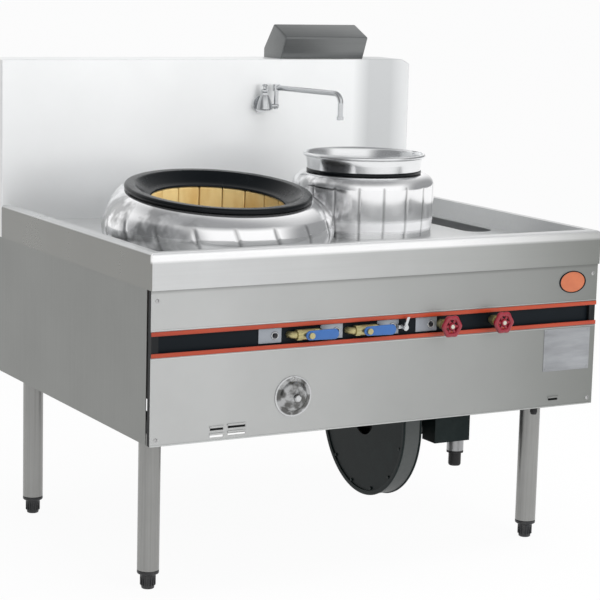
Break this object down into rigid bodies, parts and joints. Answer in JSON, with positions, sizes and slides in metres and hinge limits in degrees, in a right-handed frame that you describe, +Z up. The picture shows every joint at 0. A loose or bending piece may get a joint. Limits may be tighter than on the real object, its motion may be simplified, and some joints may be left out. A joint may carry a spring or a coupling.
{
  "type": "wok range",
  "caption": "Free-standing commercial wok range in stainless steel with a tilted wok ring, warm pot, swing tap, splashback with flue cap and a blower under the body",
  "frame": {"origin": "middle of the outer box, on the floor under the feet", "axes": "+X to the cook's right, +Y from the cook to the wall, +Z up"},
  "size_m": [1.2, 1.097, 1.257],
  "materials": {
    "black_frame": "satin black paint",
    "leg_tube": "brushed",
    "foot_plastic": "matte",
    "worktop_steel": "brushed",
    "trough_steel": "brushed",
    "black_rubber": "matte",
    "splash_steel": "fine brushed",
    "panel_steel": "fine brushed",
    "black_enamel": "gloss enamel",
    "red_trim": "gloss paint",
    "badge_enamel": "gloss enamel",
    "data_plate": "matte",
    "screw_steel": "polished",
    "shell_steel": "heat-darkened steel",
    "fire_brick": "rough unglazed",
    "burner_iron": "as cast",
    "bright_sheet": "bright",
    "black_iron": "smooth black",
    "cap_steel": "fine brushed",
    "pot_steel": "polished",
    "gas_pipe": "satin paint",
    "valve_brass": "cast and machined",
    "lever_blue": "dipped plastic",
    "pilot_chrome": "polished",
    "feed_copper": "bare copper",
    "switch_plate": "satin",
    "button_black": "matte",
    "handwheel_red": "gloss paint",
    "water_pipe": "galvanised",
    "cover_steel": "spun and polished",
    "tap_chrome": "polished",
    "blower_paint": "satin enamel",
    "impeller_steel": "as formed"
  },
  "bodies": {
    "range": {"base_frame": "black_frame", "leg_tubes": "leg_tube", "worktop": "worktop_steel", "drain_trough": "trough_steel", "drain_pipe": "trough_steel", "drain_sleeve": "black_rubber", "splash_panel": "splash_steel", "rear_panel": "splash_steel", "side_panels": "panel_steel", "upper_front_panel": "panel_steel", "lower_front_panel": "panel_steel", "control_channel": "black_enamel", "control_trims": "red_trim", "badge_plate": "badge_enamel", "data_plate": "data_plate", "panel_screws": "screw_steel", "furnace_shell": "shell_steel", "refractory_lining": "fire_brick", "burner_head": "burner_iron", "wok_collar": "bright_sheet", "flue_duct": "shell_steel", "flue_cap": "cap_steel", "pot_well": "shell_steel", "pot_housing": "bright_sheet", "pot_support_ring": "black_iron", "gas_manifold": "gas_pipe", "gas_valve_bodies": "valve_brass", "pilot_valve_body": "pilot_chrome", "burner_feed_pipes": "feed_copper", "switch_plates": "switch_plate", "water_valve_bodies": "valve_brass", "water_pipe": "water_pipe", "sight_tube": "shell_steel", "tap_body": "tap_chrome", "blower_scroll": "blower_paint", "blower_motor": "blower_paint", "blower_bracket": "blower_paint", "junction_box": "blower_paint", "air_duct": "shell_steel", "cable_gland": "black_rubber"},
    "foot_front_left": {"foot_front_left": "foot_plastic"},
    "foot_front_right": {"foot_front_right": "foot_plastic"},
    "foot_rear_left": {"foot_rear_left": "foot_plastic"},
    "foot_rear_right": {"foot_rear_right": "foot_plastic"},
    "strainer": {"drain_strainer": "trough_steel"},
    "wok_ring": {"wok_ring": "black_iron"},
    "warm_pot": {"warm_pot": "pot_steel"},
    "gas_lever_left": {"gas_lever_left": "lever_blue"},
    "gas_lever_right": {"gas_lever_right": "lever_blue"},
    "pilot_lever": {"pilot_lever": "pilot_chrome"},
    "button_1": {"push_button_1": "button_black"},
    "button_2": {"push_button_2": "button_black"},
    "button_3": {"push_button_3": "button_black"},
    "button_4": {"push_button_4": "button_black"},
    "handwheel_left": {"handwheel_left": "handwheel_red"},
    "handwheel_right": {"handwheel_right": "handwheel_red"},
    "ignition_cover": {"ignition_cover": "cover_steel"},
    "tap_handle": {"tap_handle": "tap_chrome"},
    "swing_spout": {"swing_spout": "tap_chrome"},
    "impeller": {"blower_impeller": "impeller_steel"}
  },
  "joints": [
    {"name": "foot_front_left_screw", "type": "slide", "parent": "range", "child": "foot_front_left", "axis": [0, 0, -1], "range_m": [0, 0.025]},
    {"name": "foot_front_right_screw", "type": "slide", "parent": "range", "child": "foot_front_right", "axis": [0, 0, -1], "range_m": [0, 0.025]},
    {"name": "foot_rear_left_screw", "type": "slide", "parent": "range", "child": "foot_rear_left", "axis": [0, 0, -1], "range_m": [0, 0.025]},
    {"name": "foot_rear_right_screw", "type": "slide", "parent": "range", "child": "foot_rear_right", "axis": [0, 0, -1], "range_m": [0, 0.025]},
    {"name": "strainer_lift", "type": "slide", "parent": "range", "child": "strainer", "axis": [0, 0, 1], "range_m": [0, 0.04]},
    {"name": "wok_ring_lift", "type": "slide", "parent": "range", "child": "wok_ring", "axis": [0, -0.1115, 0.9938], "range_m": [0, 0.2]},
    {"name": "warm_pot_lift", "type": "slide", "parent": "range", "child": "warm_pot", "axis": [0, 0, 1], "range_m": [0, 0.06]},
    {"name": "gas_lever_left_turn", "type": "hinge", "parent": "range", "child": "gas_lever_left", "pos_m": [-0.212, -0.5055, 0.598], "axis": [0, -1, 0], "range_deg": [0, 90]},
    {"name": "gas_lever_right_turn", "type": "hinge", "parent": "range", "child": "gas_lever_right", "pos_m": [-0.06, -0.5055, 0.598], "axis": [0, -1, 0], "range_deg": [0, 90]},
    {"name": "pilot_lever_turn", "type": "hinge", "parent": "range", "child": "pilot_lever", "pos_m": [0.043, -0.5055, 0.598], "axis": [0, 1, 0], "range_deg": [0, 90]},
    {"name": "button_1_press", "type": "slide", "parent": "range", "child": "button_1", "axis": [0, 1, 0], "range_m": [0, 0.0025], "stiffness_N_per_m": 800},
    {"name": "button_2_press", "type": "slide", "parent": "range", "child": "button_2", "axis": [0, 1, 0], "range_m": [0, 0.0025], "stiffness_N_per_m": 800},
    {"name": "button_3_press", "type": "slide", "parent": "range", "child": "button_3", "axis": [0, 1, 0], "range_m": [0, 0.0025], "stiffness_N_per_m": 800},
    {"name": "button_4_press", "type": "slide", "parent": "range", "child": "button_4", "axis": [0, 1, 0], "range_m": [0, 0.0025], "stiffness_N_per_m": 800},
    {"name": "handwheel_left_turn", "type": "hinge", "parent": "range", "child": "handwheel_left", "pos_m": [0.153, -0.53, 0.598], "axis": [0, -1, 0], "range_deg": [0, 1080]},
    {"name": "handwheel_right_turn", "type": "hinge", "parent": "range", "child": "handwheel_right", "pos_m": [0.299, -0.53, 0.598], "axis": [0, -1, 0], "range_deg": [0, 1080]},
    {"name": "ignition_cover_swing", "type": "hinge", "parent": "range", "child": "ignition_cover", "pos_m": [-0.243, -0.503, 0.498], "axis": [0, -1, 0], "range_deg": [-100, 100]},
    {"name": "tap_handle_turn", "type": "hinge", "parent": "range", "child": "tap_handle", "pos_m": [0.133, 0.3695, 1.08], "axis": [0, 0, 1], "range_deg": [0, 540]},
    {"name": "spout_swing", "type": "hinge", "parent": "range", "child": "swing_spout", "pos_m": [0.168, 0.3695, 1.091], "axis": [0, 0, 1], "range_deg": [-60, 75]},
    {"name": "impeller_spin", "type": "hinge", "parent": "range", "child": "impeller", "pos_m": [0.25, -0.06, 0.279], "axis": [1, 0, 0], "continuous": true}
  ]
}
